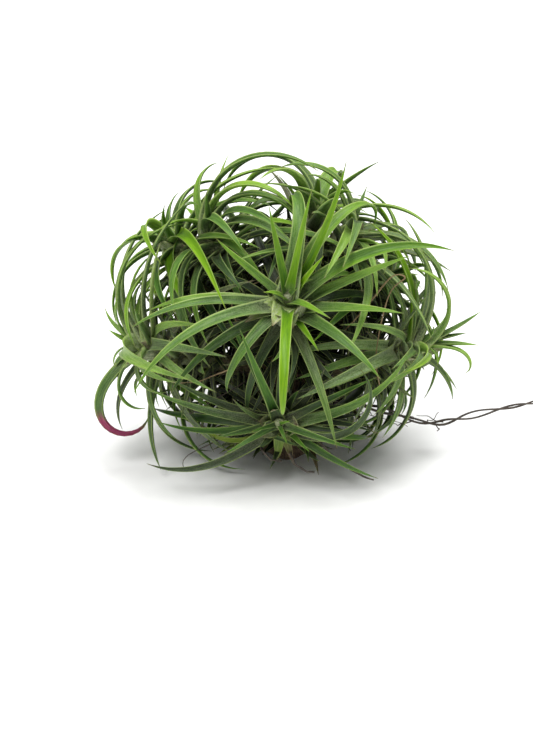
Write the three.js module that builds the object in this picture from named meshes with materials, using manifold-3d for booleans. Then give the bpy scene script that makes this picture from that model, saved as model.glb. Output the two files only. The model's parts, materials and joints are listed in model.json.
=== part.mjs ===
// An air plant: a round clump of tufted rosettes on one short woody stem, with wiry roots.
//
// Millimetres, +Z up, -Y is the front. The origin is the middle of the stem's flat foot, on which
// the clump stands. Every leaf is a narrow channelled strap that arches out of its rosette and ends
// in a fine point. Leaves are placed by one rule, either from a hand-set row of numbers or from a
// seeded draw, and each one is bent clear of the leaves that were placed before it.

import * as THREE from "three";
import { mergeVertices } from "three/addons/utils/BufferGeometryUtils.js";
import Module from "manifold-3d";

const wasm = await Module();
wasm.setup();

// ---- Driving dimensions, in millimetres and degrees ----

const GAP = 0.3;                 // air between two pieces that touch on the real plant
const BALL_CENTRE = [-2, 0, 57]; // middle of the round clump
const BALL_RADIUS = 63;          // how far the leaves that are placed by draw may reach
const STRAY_RADIUS = 82;         // how far the hand-set leaves may reach

const LEAF_WIDTH = 4.6;
const LEAF_THICKNESS = 1.0;      // at the root, two thirds of it near the tip
const LEAF_CHANNEL = 0.55;       // rise of the edges over the midline, per half width
const HEART_SEAT = 0.16;         // mm down the stem that a leaf sits for each degree of its lean
const ROOT_OUT = 1.6;            // how far off the stem's axis the root of an outer leaf lies
const STATIONS = 48;             // steps that a leaf's midline is summed in
const GOLDEN_ANGLE = 137.5;

const ROSETTE_STEM = { foot: 2.7, middle: 2.9, heart: 1.6, sides: 6 };

// Outline of the old woody stem, as radius and height, from its flat foot to its rounded top.
const MOTHER_OUTLINE = [[0, 0], [9.8, 0], [10.2, 1.4], [8.6, 4.5], [7.4, 10], [7.8, 18], [8.6, 28],
  [8.3, 38], [6.8, 45], [3.8, 49], [0, 50]];
const MOTHER_SIDES = 16;
const MOTHER_RIDGES = { count: 4, rise: 0.11, twist: 7 };  // share of the radius, degrees a mm

// Dead straw leaves that hang off the old stem.
const DEAD_LEAVES = { count: 13, lowest: 6, highest: 30, length: 27, width: 4.6 };

// ---- Clearance grid ----

const CELL = 0.8;
const GRID_HALF = 84;            // half the grid's width, across the clump
const GRID_TOP = 124;
const FLOOR_GAP = 1.2;           // lowest that a leaf may hang
const LEAF_CLEAR = 1.75;         // from one leaf's middle surface to the next one's
const STEM_CLEAR = 1.3;          // from a stem's or root's skin to a leaf's middle surface
const FREE = 0;
const WOOD = 1;                  // the old stem and the roots
const TRIES = 200;
const FUSED_LENGTH = 16;         // how far along a leaf it may be fused to its own rosette

// ---- Rosettes ----
// Each row of leaves is azimuth, lean, bend, length, swing, then lateness if it isn't 1.5, and width.
// Azimuth is 0 up and grows clockwise, as seen from outside looking at the heart. Lean is the angle
// from the rosette's axis at the root, bend is what is added to it by the tip, swing turns the
// azimuth, and a later bend keeps the first part of the leaf straighter.

const ROSETTES = [
  { name: "rosette_front", base: [0, -5, 38], heart: [0, -31, 73], tint: 0x7f9e4b, more: 3, leaves: [
    [182, 44, 165, 61, 0, 2.6, 4.9], [20, 18, 205, 62, -60, 1.5, 5.6], [-28, 20, 5, 38, 5, 1.5, 3.4],
    [44, 27, -4, 53, -30, 1.5, 3.6], [44, 26, 170, 66, 20, 1.5, 4.8], [70, 42, 60, 62, 32, 1.5, 5.2],
    [84, 52, 10, 46, 0, 1.5, 4.6], [108, 58, 12, 43, 5, 1.5, 4.4], [134, 60, 50, 44, 5, 1.5, 5.2],
    [-98, 56, 66, 56, -14, 1.5, 4.6], [-114, 54, 92, 66, -20, 1.5, 5.2], [-122, 68, 70, 52, -15, 1.5, 4.6],
    [160, 78, 52, 51, 3, 1.5, 4.2], [62, 28, 5, 25, 0, 1.5, 2.6], [155, 60, 20, 24, 0, 1.5, 2.8],
    [-90, 62, 60, 48, -8], [15, 22, 6, 46, 0, 1.5, 3.4]] },
  { name: "rosette_low_front", base: [-1, -5, 13], heart: [-3, -37, 28], tint: 0x5f7f42, more: 3, leaves: [
    [0, 40, 20, 26, 0], [115, 60, 0, 56, -165], [-20, 32, 10, 54, 0], [-75, 70, 5, 42, 15],
    [-84, 60, 20, 48, 18], [-98, 60, 30, 44, 30], [-104, 50, 20, 24, 0], [-132, 68, 38, 51, 60],
    [88, 62, -20, 62, -60], [104, 60, 10, 26, -10], [122, 62, 20, 40, -20], [130, 50, 10, 16, 0],
    [66, 55, 20, 40, 0]] },
  { name: "rosette_far_left", base: [-5, 3, 34], heart: [-43, 12, 79], tint: 0x6d8d46, more: 11, leaves: [
    [50, 32, 112, 66, 45, 0.4, 4.6], [84, 38, 114, 42, 0, 0.4, 4.8], [0, 50, 100, 42, 0, 1],
    [90, 55, 120, 48, 0, 1], [200, 30, 120, 50, 0, 1], [150, 40, 120, 42, 0, 1]] },
  { name: "rosette_left", base: [-5, -2, 30], heart: [-55.5, -13, 48], tint: 0x86a353, more: 4, leaves: [
    [178, 48, 232, 55, 0, 2.1, 6.4], [4, 26, 150, 62, 0, 1], [0, 40, 130, 60, 0, 1], [0, 52, 72, 60, 0, 1],
    [38, 64, 22, 58, 0, 1.2], [15, 8, 12, 11, 0], [180, 33, 160, 20, 0, 3], [180, 38, 155, 33, 0],
    [175, 60, 65, 37, 0], [175, 74, 118, 52, 0, 1], [165, 86, 48, 42, 0], [60, 30, 140, 52, 0, 0.8]] },
  { name: "rosette_right", base: [5, -2.5, 28], heart: [47, -15, 49], tint: 0x7c9b50, more: 5, leaves: [
    [0, 44, 75, 50, 0, 1], [0, 29, 115, 55, 0, 1.2], [0, 12, 150, 41, 0, 1.3], [0, 6, 8, 26, 0],
    [180, 2, 5, 18, 0], [180, 14, 10, 22, 0], [188, 14, 175, 27, 0, 4], [185, 37, 70, 25, 0, 1.2],
    [170, 45, 45, 24, 0], [195, 62, 115, 42, 0, 0.8], [215, 72, 70, 31, 0, 0.8], [275, 100, 30, 32, 0],
    [320, 105, 10, 36, 0]] },
  { name: "rosette_upper_left", base: [-4, 0, 44], heart: [-28.5, 3, 84], tint: 0x7b9a4c, more: 8, leaves: [
    [0, 14, 150, 62, 0, 0.9, 5.4], [15, 20, 150, 52, 0, 1, 5.4], [60, 24, 150, 42, 0, 1],
    [-30, 20, 150, 55, 0, 1, 5.2], [20, 30, 120, 45, 0, 1], [50, 35, 120, 52, 0, 0.8, 5.2],
    [110, 50, 120, 45, 0, 1], [130, 60, 90, 35, 0, 1]] },
  { name: "rosette_top", base: [0, 3.5, 47], heart: [9, 10, 88], tint: 0x6f9049, more: 8, leaves: [
    [30, 4, 180, 54, 0, 0.9, 5.4], [60, 14, 165, 58, 0, 0.9, 5.2], [150, 8, 190, 34, 0, 2, 5.6],
    [180, 30, 120, 45, 0, 1], [240, 40, 110, 50, 0, 1], [300, 55, 110, 40, 0, 1]] },
  { name: "rosette_upper_right", base: [5, -1.5, 41], heart: [22, 0, 87], tint: 0x789748, more: 10,
    leaves: [[180, 60, 45, 40, 0, 1], [165, 35, 90, 48, 0, 1], [215, 40, 110, 46, 0, 1],
    [0, 10, 150, 45, 0, 1], [280, 30, 120, 45, 0, 1]] },
  { name: "rosette_right_back", base: [5, 3.5, 34], heart: [37, 17, 62], tint: 0x6b8a47, more: 16,
    leaves: [] },
  { name: "rosette_back_left", base: [-3.5, 4.5, 24], heart: [-27, 32, 55], tint: 0x658544, more: 16,
    leaves: [] },
  { name: "rosette_back", base: [0, 5, 38], heart: [0, 34, 73], tint: 0x6f8f4a, more: 15,
    leaves: [] },
  { name: "rosette_back_low", base: [-1, 5, 13], heart: [5, 38, 35], tint: 0x5c7c40, more: 15,
    leaves: [] },
  { name: "rosette_low_left", base: [-5.5, 2, 17], heart: [-36, 17, 29], tint: 0x5f7e41, more: 14,
    leaves: [] },
  { name: "rosette_low_right", base: [5.5, 2.5, 17], heart: [35, 20, 29], tint: 0x607f43, more: 14,
    leaves: [] },
];

// ---- Roots: hand-chosen points that each root passes, from inside the old stem to its tip ----

const ROOTS = [
  { points: [[4, -3, 15], [10, -5, 19], [18.7, -6, 21.5], [33, -5, 18.5], [51, -4, 12.4], [65.5, -3, 14.4],
    [84, -2, 19], [97, -1, 21]], thick: 0.85, thin: 0.55, strands: 2, turns: 5, spread: 0.75, steps: 18 },
  { points: [[5, -5, 36], [16, -15, 50], [28, -23, 68], [35.5, -26, 78], [38.8, -26, 77.5], [34.2, -27, 73],
    [31.3, -27, 62], [30.2, -27, 48], [31.6, -26, 38], [30.8, -24, 32.5]],
    thick: 0.8, thin: 0.5, strands: 1, turns: 0, spread: 0, steps: 16 },
  { points: [[-4, -5, 37], [-7, -17, 45.5], [-16.5, -25, 44.7], [-28, -27, 40.5], [-38, -26, 37.5]],
    thick: 0.8, thin: 0.45, strands: 1, turns: 0, spread: 0, steps: 8 },
  { points: [[-5, -4, 41], [-15, -12, 50], [-20, -14, 60], [-17, -12, 66.7], [-11, -11, 69.5],
    [-5, -10, 72]], thick: 0.75, thin: 0.45, strands: 1, turns: 0, spread: 0, steps: 11 },
  { points: [[5, -4, 10], [9, -16, 15.5], [11.2, -28, 16.8], [20, -31, 8.5], [31, -31, 3.4]],
    thick: 0.85, thin: 0.5, strands: 1, turns: 0, spread: 0, steps: 11 },
  { points: [[-4, -5, 9], [-7, -18, 13], [-9.5, -30, 15.8], [-6, -34, 12.5], [-2, -33, 11.5]],
    thick: 0.8, thin: 0.5, strands: 1, turns: 0, spread: 0, steps: 8 },
  { points: [[2, -6, 8], [1, -20, 9], [1.5, -32, 12.5], [5, -35, 9.5], [9.5, -34, 7.4]],
    thick: 0.8, thin: 0.5, strands: 1, turns: 0, spread: 0, steps: 8 },
  { points: [[-6, 6, 5], [-14, 13, 6], [-24, 17, 3.6], [-33, 24, 2.4]],
    thick: 0.9, thin: 0.5, strands: 1, turns: 0, spread: 0, steps: 8 },
  { points: [[5, 7, 5], [10, 18, 7], [19, 25, 4], [22, 35, 2.6]],
    thick: 0.9, thin: 0.5, strands: 1, turns: 0, spread: 0, steps: 8 },
];
const ROOT_SIDES = 4;

// ---- Vectors and draws ----

const radians = THREE.MathUtils.degToRad;
const vector = (numbers) => new THREE.Vector3(...numbers);
const blend = (a, shareA, b, shareB) => a.clone().multiplyScalar(shareA).addScaledVector(b, shareB);

/** Park-Miller draws between -1 and 1. */
function drawsFrom(seed) {
  let state = seed;
  return () => {
    state = (state * 16807) % 2147483647;
    return (state / 2147483647) * 2 - 1;
  };
}

/** A rosette's own directions: out along its stem, to the right, and up, seen from outside. */
function frameOf(base, heart) {
  const axis = heart.clone().sub(base).normalize();
  const right = new THREE.Vector3(0, 0, 1).cross(axis);
  if (right.length() < 1e-6) right.set(1, 0, 0);
  right.normalize();
  return { axis, right, up: axis.clone().cross(right) };
}

// ---- Leaves ----

/** Half the leaf's width at share s of its length: a narrower root, a strap and a fine point. */
function halfWidth(width, s) {
  return (width / 2) * (1 - s ** 1.9) * (1 - 0.55 * Math.exp(-((s / 0.08) ** 2)));
}

/** Stations along a leaf's midline, each with its point, its way along, its side and inner face. */
function midline(root, frame, leaf) {
  const stations = [];
  const point = root.clone();
  let before = null;
  for (let i = 0; i <= STATIONS; i++) {
    const s = i / STATIONS;
    const theta = radians(leaf.lean + leaf.bend * s ** leaf.late);
    const phi = radians(leaf.azimuth + leaf.swing * s ** 1.5);
    const outward = blend(frame.up, Math.cos(phi), frame.right, Math.sin(phi));
    const along = blend(frame.axis, Math.cos(theta), outward, Math.sin(theta));
    const side = blend(frame.up, -Math.sin(phi), frame.right, Math.cos(phi));
    if (before) point.addScaledVector(before.add(along), leaf.length / STATIONS / 2);
    before = along.clone();
    stations.push({ s, point: point.clone(), along, side, face: side.clone().cross(along) });
  }
  return stations;
}

/** The few stations that the solid leaf keeps: more of them the more it turns. */
function sectionsOf(stations, leaf) {
  const turn = Math.abs(leaf.bend) + Math.abs(leaf.swing) / 2;
  const step = turn < 80 ? 12 : turn < 200 ? 8 : 6;
  return stations.filter((_, i) => i % step === 0).map((station) => {
    const half = halfWidth(leaf.width, station.s);
    const across = (share) => station.point.clone().addScaledVector(station.side, share * half)
      .addScaledVector(station.face, Math.abs(share) * half * LEAF_CHANNEL);
    return { ...station, across };
  });
}

/** Points spread over a leaf's middle surface, with how far along the leaf each one is. */
function spreadPoints(sections, length) {
  const steps = 8;
  const shares = [-1, -0.5, 0, 0.5, 1];
  const rows = sections.map((section) => shares.map(section.across));
  const points = [];
  for (let j = 0; j + 1 < sections.length; j++) {
    for (let k = 0; k < steps; k++) {
      const way = (sections[j].s + (sections[j + 1].s - sections[j].s) * (k / steps)) * length;
      shares.forEach((_, i) => {
        const point = rows[j][i].clone().lerp(rows[j + 1][i], k / steps);
        points.push({ way, point });
      });
    }
  }
  points.push({ way: length, point: sections.at(-1).point });
  return points;
}

/** A closed leaf with four corners a section: left edge, trough, right edge and keel. */
function leafSolid(sections) {
  const corners = [];
  const body = sections.slice(0, -1);
  for (const section of body) {
    const half = LEAF_THICKNESS * (1 - section.s / 3) / 2;
    corners.push(section.across(-1), section.point.clone().addScaledVector(section.face, half));
    corners.push(section.across(1), section.point.clone().addScaledVector(section.face, -half));
  }
  const tip = corners.length;
  corners.push(sections.at(-1).point);
  const faces = [[0, 2, 1], [0, 3, 2]];
  for (let j = 0; j < body.length; j++) {
    const here = 4 * j;
    const next = here + 4;
    for (const [edge, middle, flip] of [[0, 1, false], [2, 1, true], [2, 3, false], [0, 3, true]]) {
      const strip = next < tip
        ? [[here + edge, here + middle, next + middle], [here + edge, next + middle, next + edge]]
        : [[here + edge, here + middle, tip]];
      faces.push(...(flip ? strip.map(([a, b, c]) => [a, c, b]) : strip));
    }
  }
  return solidOf(corners, faces);
}

// ---- Solids ----

/** A solid from corner points and outward triangles. */
function solidOf(corners, faces) {
  const vertProperties = new Float32Array(corners.flatMap((corner) => corner.toArray()));
  const triVerts = new Uint32Array(faces.flat());
  return new wasm.Manifold(new wasm.Mesh({ numProp: 3, vertProperties, triVerts }));
}

/** A solid from a closed three.js geometry. */
function solidFrom(geometry) {
  geometry.deleteAttribute("normal");
  geometry.deleteAttribute("uv");
  const merged = mergeVertices(geometry, 1e-5);
  const vertProperties = new Float32Array(merged.attributes.position.array);
  const triVerts = new Uint32Array(merged.index.array);
  return new wasm.Manifold(new wasm.Mesh({ numProp: 3, vertProperties, triVerts }));
}

/** A round bar through rings, each with its middle, its radius and the two directions it lies in. */
function barSolid(rings, sides) {
  const corners = [];
  for (const { middle, radius, across, over } of rings) {
    for (let i = 0; i < sides; i++) {
      const turn = (2 * Math.PI * i) / sides;
      corners.push(middle.clone().addScaledVector(across, radius * Math.cos(turn))
        .addScaledVector(over, radius * Math.sin(turn)));
    }
  }
  const faces = [];
  const last = sides * (rings.length - 1);
  for (let i = 0; i < sides; i++) {
    const next = (i + 1) % sides;
    if (i > 0 && next > 0) faces.push([0, next, i], [last, last + i, last + next]);
    for (let start = 0; start < last; start += sides) {
      faces.push([start + i, start + next, start + sides + next]);
      faces.push([start + i, start + sides + next, start + sides + i]);
    }
  }
  return solidOf(corners, faces);
}

/** All the solids joined into one. */
const joined = (solids) => solids.reduce((sum, solid) => sum.add(solid));

/** Only the largest of the shells that a cut or a join leaves, with any hollow sealed in it filled. */
function largestBody(solid) {
  return solid.decompose().reduce((best, body) => (body.volume() > best.volume() ? body : best));
}

// ---- Clearance grid: who owns each cell of the space around the stem ----

const COLUMNS = Math.round((2 * GRID_HALF) / CELL);
const LAYERS = Math.round(GRID_TOP / CELL);
const cells = new Int16Array(COLUMNS * COLUMNS * LAYERS);

/** The cell's number, or -1 outside the grid. */
function cellAt(column, row, layer) {
  const inside = Math.min(column, row, layer) >= 0 && Math.max(column, row) < COLUMNS && layer < LAYERS;
  return inside ? (layer * COLUMNS + row) * COLUMNS + column : -1;
}

/** Column, row and layer of a point. */
function placeOf(point) {
  return [Math.floor((point.x + GRID_HALF) / CELL), Math.floor((point.y + GRID_HALF) / CELL),
    Math.floor(point.z / CELL)];
}

/** Gives the free cells whose middles lie within the radius of the point to the owner. */
function claim(point, radius, owner) {
  const [column, row, layer] = placeOf(point);
  const reach = Math.ceil(radius / CELL);
  for (let k = -reach; k <= reach; k++) {
    const dz = (layer + k + 0.5) * CELL - point.z;
    for (let j = -reach; j <= reach; j++) {
      const dy = (row + j + 0.5) * CELL - GRID_HALF - point.y;
      for (let i = -reach; i <= reach; i++) {
        const dx = (column + i + 0.5) * CELL - GRID_HALF - point.x;
        if (dx * dx + dy * dy + dz * dz > radius * radius) continue;
        const cell = cellAt(column + i, row + j, layer + k);
        if (cell >= 0 && cells[cell] === FREE) cells[cell] = owner;
      }
    }
  }
}

/** Claims a round bar between two points. */
function claimBar(from, to, radiusFrom, radiusTo, owner) {
  const steps = Math.max(1, Math.ceil(from.distanceTo(to) / CELL));
  for (let i = 0; i <= steps; i++) {
    const t = i / steps;
    claim(from.clone().lerp(to, t), THREE.MathUtils.lerp(radiusFrom, radiusTo, t) + STEM_CLEAR, owner);
  }
}

/** Whether a leaf's points are over the floor, within reach, and in no cell that it must keep out of. */
function isClear(points, owner, reach) {
  const centre = vector(BALL_CENTRE);
  return points.every(({ way, point }) => {
    if (point.z < FLOOR_GAP || point.distanceTo(centre) > reach) return false;
    const cell = cellAt(...placeOf(point));
    if (cell < 0 || cells[cell] === FREE) return true;
    return cells[cell] === owner && way < FUSED_LENGTH;
  });
}

/** Where a leaf starts: just under the skin of its rosette's stem, the lower the more it leans. */
function rootOf({ heart, frame }, leaf) {
  const lean = THREE.MathUtils.clamp(leaf.lean, 10, 90);
  const down = HEART_SEAT * lean;
  const out = ROOT_OUT * Math.min(1, lean / 60);
  const turn = radians(leaf.azimuth);
  return heart.clone().addScaledVector(frame.axis, -down)
    .addScaledVector(frame.up, out * Math.cos(turn)).addScaledVector(frame.right, out * Math.sin(turn));
}

/** Bends a planned leaf a little more with each try, until it is clear, and claims its place. */
function growLeaf(rosette, plan, seed) {
  const draw = drawsFrom(seed);
  for (let attempt = 0; attempt < TRIES; attempt++) {
    const stray = attempt / TRIES;
    const leaf = { ...plan,
      azimuth: plan.azimuth + 90 * stray * draw(),
      lean: plan.lean + 30 * stray * draw(),
      bend: plan.bend + 70 * stray * draw(),
      length: plan.length * (1 + 0.25 * stray * draw()),
      swing: plan.swing + 30 * stray * draw() };
    const root = rootOf(rosette, leaf);
    const sections = sectionsOf(midline(root, rosette.frame, leaf), leaf);
    const points = spreadPoints(sections, leaf.length);
    if (!isClear(points, rosette.owner, leaf.reach)) continue;
    points.forEach(({ point }) => claim(point, LEAF_CLEAR, rosette.owner));
    return leafSolid(sections);
  }
  return null;
}

/** Width of a leaf of this length: the short young ones are narrower. */
const widthFor = (length) => LEAF_WIDTH * (0.6 + 0.4 * Math.min(1, length / 50));

/** The hand-set leaves of a rosette. They may reach out of the ball. */
function handPlans(rosette) {
  return rosette.leaves.map(([azimuth, lean, bend, length, swing, late = 1.5, width = widthFor(length)]) =>
    ({ azimuth, lean, bend, length, swing, late, width, reach: STRAY_RADIUS }));
}

/** The drawn leaves of a rosette: a golden-angle spiral from the young heart to the old outer leaves. */
function drawnPlans(rosette) {
  const draw = drawsFrom(1000 + 77 * rosette.owner);
  return Array.from({ length: rosette.more }, (_, i) => {
    const age = (i + 0.5) / rosette.more;
    const length = 30 + 26 * Math.sqrt(age) + 8 * draw();
    return { azimuth: GOLDEN_ANGLE * i + 40 * rosette.owner, lean: 12 + 72 * age ** 0.8 + 6 * draw(),
      bend: 106 + 42 * draw(), length, swing: 22 * draw(), late: 1.15 + 0.35 * draw(),
      width: widthFor(length), reach: BALL_RADIUS * (1 + 0.06 * draw()) };
  });
}

// ---- Stems ----

/** Rings of a rosette's stem, from its foot in the old stem to its heart, grown all round by an amount. */
function stemRings(rosette, grown) {
  const { base, heart, frame } = rosette;
  const { foot, middle, heart: top } = ROSETTE_STEM;
  const ring = (share, radius, back) => {
    const centre = base.clone().lerp(heart, share).addScaledVector(frame.axis, -back);
    return { middle: centre, radius: radius + grown, across: frame.right, over: frame.up };
  };
  return [ring(0, foot, grown), ring(0.7, middle, 0), ring(1, top, 0)];
}

const stemSolid = (rosette, grown = 0) => barSolid(stemRings(rosette, grown), ROSETTE_STEM.sides);

/** The old stem, turned from its outline and drawn out into low twisted ridges. */
function motherColumn() {
  const outline = MOTHER_OUTLINE.map(([radius, height]) => new THREE.Vector2(radius, height));
  const turned = new THREE.LatheGeometry(outline, MOTHER_SIDES);
  turned.rotateX(Math.PI / 2);
  const corners = turned.attributes.position;
  for (let i = 0; i < corners.count; i++) {
    const [x, y, z] = [corners.getX(i), corners.getY(i), corners.getZ(i)];
    const turn = MOTHER_RIDGES.count * Math.atan2(y, x) + radians(MOTHER_RIDGES.twist * z);
    const swell = 1 + MOTHER_RIDGES.rise * Math.cos(turn);
    corners.setXYZ(i, x * swell, y * swell, z);
  }
  return solidFrom(turned);
}

/** A path's points, each with two directions across it that are carried along without turning. */
function pathFrames(points, steps) {
  const curve = new THREE.CatmullRomCurve3(points.map(vector), false, "catmullrom", 0.5);
  const middles = Array.from({ length: steps + 1 }, (_, i) => curve.getPoint(i / steps));
  let across = null;
  return middles.map((middle, i) => {
    const along = middles[Math.min(i + 1, steps)].clone().sub(middles[Math.max(i - 1, 0)]).normalize();
    across = across ? across.clone() : along.clone().cross(new THREE.Vector3(0, 0, 1));
    across.addScaledVector(along, -across.dot(along)).normalize();
    return { middle, across, over: along.clone().cross(across) };
  });
}

/** A root's strands: one plain tapered tube, or two that wind round each other. */
function rootStrands(root) {
  const frames = pathFrames(root.points, root.steps);
  return Array.from({ length: root.strands }, (_, strand) => frames.map(({ middle, across, over }, i) => {
    const t = i / root.steps;
    const turn = 2 * Math.PI * (root.turns * t + strand / root.strands);
    const wound = middle.clone().addScaledVector(across, root.spread * Math.cos(turn))
      .addScaledVector(over, root.spread * Math.sin(turn));
    return { middle: wound, radius: THREE.MathUtils.lerp(root.thick, root.thin, t), across, over };
  }));
}

// ---- Growing the clump ----

ROSETTES.forEach((rosette, index) => {
  rosette.owner = WOOD + 1 + index;
  rosette.base = vector(rosette.base);
  rosette.heart = vector(rosette.heart);
  rosette.frame = frameOf(rosette.base, rosette.heart);
});

const strands = ROOTS.flatMap(rootStrands);

/** Claims the space of the old stem, the roots and the rosettes' stems before any leaf is placed. */
function claimWood() {
  for (let i = 0; i + 1 < MOTHER_OUTLINE.length; i++) {
    const [[radiusFrom, from], [radiusTo, to]] = [MOTHER_OUTLINE[i], MOTHER_OUTLINE[i + 1]];
    claimBar(vector([0, 0, from]), vector([0, 0, to]), radiusFrom, radiusTo, WOOD);
  }
  for (const rosette of ROSETTES) {
    const [foot, middle, heart] = stemRings(rosette, 0);
    claimBar(foot.middle, middle.middle, foot.radius, middle.radius, rosette.owner);
    claimBar(middle.middle, heart.middle, middle.radius, heart.radius, rosette.owner);
  }
  for (const rings of strands) {
    rings.slice(1).forEach((ring, i) =>
      claimBar(rings[i].middle, ring.middle, rings[i].radius, ring.radius, WOOD));
  }
}

/** Dead leaves that hang off the old stem, on the same rule as the living ones. */
function deadLeaves() {
  const draw = drawsFrom(4242);
  const solids = [];
  for (let i = 0; i < DEAD_LEAVES.count; i++) {
    const height = THREE.MathUtils.lerp(DEAD_LEAVES.lowest, DEAD_LEAVES.highest, i / DEAD_LEAVES.count);
    const frame = { axis: vector([0, 0, 1]), right: vector([1, 0, 0]), up: vector([0, 1, 0]) };
    const place = { owner: WOOD, heart: vector([0, 0, height]), frame };
    const plan = { azimuth: GOLDEN_ANGLE * i, lean: 78 + 12 * draw(), bend: 25 + 30 * draw(),
      length: DEAD_LEAVES.length * (1 + 0.25 * draw()), swing: 25 * draw(), late: 1.3,
      width: DEAD_LEAVES.width, reach: Infinity };
    solids.push(growLeaf(place, plan, 9000 + i));
  }
  return solids.filter(Boolean);
}

/** The old stem with its roots and dead leaves, and a socket for each rosette's stem. */
function motherStem() {
  const roots = strands.map((rings) => barSolid(rings, ROOT_SIDES));
  const wood = joined([motherColumn(), ...roots, ...deadLeaves()]);
  return largestBody(ROSETTES.reduce((rest, rosette) => rest.subtract(stemSolid(rosette, GAP)), wood));
}

/** One rosette: its stem and every leaf that found a clear place. */
function rosetteSolid(rosette) {
  const plans = [...handPlans(rosette), ...drawnPlans(rosette)];
  const seed = 100 * rosette.owner + 1;
  const leaves = plans.map((plan, i) => growLeaf(rosette, plan, seed + i)).filter(Boolean);
  return largestBody(joined([stemSolid(rosette), ...leaves]));
}

/** A named mesh with its own material. */
function namedMesh(name, solid, color, roughness) {
  const { vertProperties, triVerts } = solid.getMesh();
  const geometry = new THREE.BufferGeometry();
  geometry.setAttribute("position", new THREE.BufferAttribute(vertProperties, 3));
  geometry.setIndex(new THREE.BufferAttribute(triVerts, 1));
  geometry.computeVertexNormals();
  const mesh = new THREE.Mesh(geometry, new THREE.MeshStandardMaterial({ color, roughness, metalness: 0 }));
  mesh.name = name;
  return mesh;
}

const plant = new THREE.Group();
claimWood();
plant.add(namedMesh("mother_stem", motherStem(), 0x6b543b, 0.9));
for (const rosette of ROSETTES) {
  plant.add(namedMesh(rosette.name, rosetteSolid(rosette), rosette.tint, 0.6));
}

export default plant;
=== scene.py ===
import json
import math

import bpy
import numpy as np
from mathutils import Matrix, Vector

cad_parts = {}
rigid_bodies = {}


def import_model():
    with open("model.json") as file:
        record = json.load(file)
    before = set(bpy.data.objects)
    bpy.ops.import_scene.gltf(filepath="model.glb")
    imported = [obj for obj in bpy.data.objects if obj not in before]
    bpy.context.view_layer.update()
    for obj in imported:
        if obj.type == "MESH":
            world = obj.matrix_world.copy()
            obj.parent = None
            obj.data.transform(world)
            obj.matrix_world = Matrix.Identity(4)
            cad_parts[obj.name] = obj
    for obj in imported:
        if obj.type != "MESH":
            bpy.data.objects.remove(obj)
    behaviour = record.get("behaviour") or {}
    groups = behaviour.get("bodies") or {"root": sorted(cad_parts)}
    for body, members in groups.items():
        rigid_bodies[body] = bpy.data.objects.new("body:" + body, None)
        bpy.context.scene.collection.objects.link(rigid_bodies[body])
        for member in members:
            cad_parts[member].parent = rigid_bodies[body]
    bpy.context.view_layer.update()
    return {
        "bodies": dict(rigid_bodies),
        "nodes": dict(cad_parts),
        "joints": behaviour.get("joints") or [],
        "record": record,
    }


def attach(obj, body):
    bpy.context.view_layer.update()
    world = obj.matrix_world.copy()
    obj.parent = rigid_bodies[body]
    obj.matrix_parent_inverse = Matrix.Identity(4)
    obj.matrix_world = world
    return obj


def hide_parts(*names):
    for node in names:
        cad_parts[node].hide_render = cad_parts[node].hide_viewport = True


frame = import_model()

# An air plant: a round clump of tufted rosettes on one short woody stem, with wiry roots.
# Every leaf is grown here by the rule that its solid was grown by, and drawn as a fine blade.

MM = 0.001

# ---- The plant's own sizes, in millimetres and degrees, as its solids have them ----

BALL_CENTRE = np.array([-2.0, 0.0, 57.0])      # middle of the round clump
BALL_RADIUS = 63           # how far the leaves that are placed by draw may reach
STRAY_RADIUS = 82          # how far the listed leaves may reach
LEAF_WIDTH = 4.6
LEAF_CHANNEL = 0.55        # rise of the edges over the midline, per half width
HEART_SEAT = 0.16          # mm down the stem that a leaf sits for each degree of its lean
ROOT_OUT = 1.6             # how far off the stem's axis the root of an outer leaf lies
STATIONS = 48              # steps that a leaf's midline is summed in
LATE = 1.5                 # lateness of a leaf's bend, where its row gives none
GOLDEN_ANGLE = 137.5
STEM_MIDDLE = 0.7          # share of a rosette's stem at which the second of its radii is
STEM_RADII = (2.7, 2.9, 1.6)          # of a rosette's stem: at its foot, there, and at its heart
MOTHER_OUTLINE = [(0, 0), (9.8, 0), (10.2, 1.4), (8.6, 4.5), (7.4, 10), (7.8, 18), (8.6, 28),
                  (8.3, 38), (6.8, 45), (3.8, 49), (0, 50)]        # of the old stem: radius, height
MOTHER_RIDGES = dict(count=4, rise=0.11, twist=7)      # share of the radius, degrees a mm
DEAD_LEAVES = dict(count=13, lowest=6, highest=30, lean=(78, 12), bend=(25, 30), length=27,
                   vary=0.25, swing=25, width=4.6, reach=math.inf, draws=4242, seeds=9000)

CELL = 0.8                 # side of a cell of the grid that keeps the leaves clear of each other
GRID_HALF = 84             # half the grid's width, across the clump
GRID_TOP = 124
FLOOR_GAP = 1.2            # lowest that a leaf may hang
LEAF_CLEAR = 1.75          # from one leaf's middle surface to the next one's
STEM_CLEAR = 1.3           # from a stem's or root's skin to a leaf's middle surface
FREE = 0
WOOD = 1                   # the old stem and the roots
FUSED_LENGTH = 16          # how far along a leaf it may be fused to its own rosette
TRIES = 200
STRAY = dict(azimuth=90, lean=30, bend=70, length=0.25, swing=30)     # most that the last try changes
SECTION_STEPS = (80, 12), (200, 8), (math.inf, 6)      # stations to a section of a leaf that turns less than
SPREAD_STEPS = 8           # rows of points to a section, by which a leaf is tested

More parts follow.
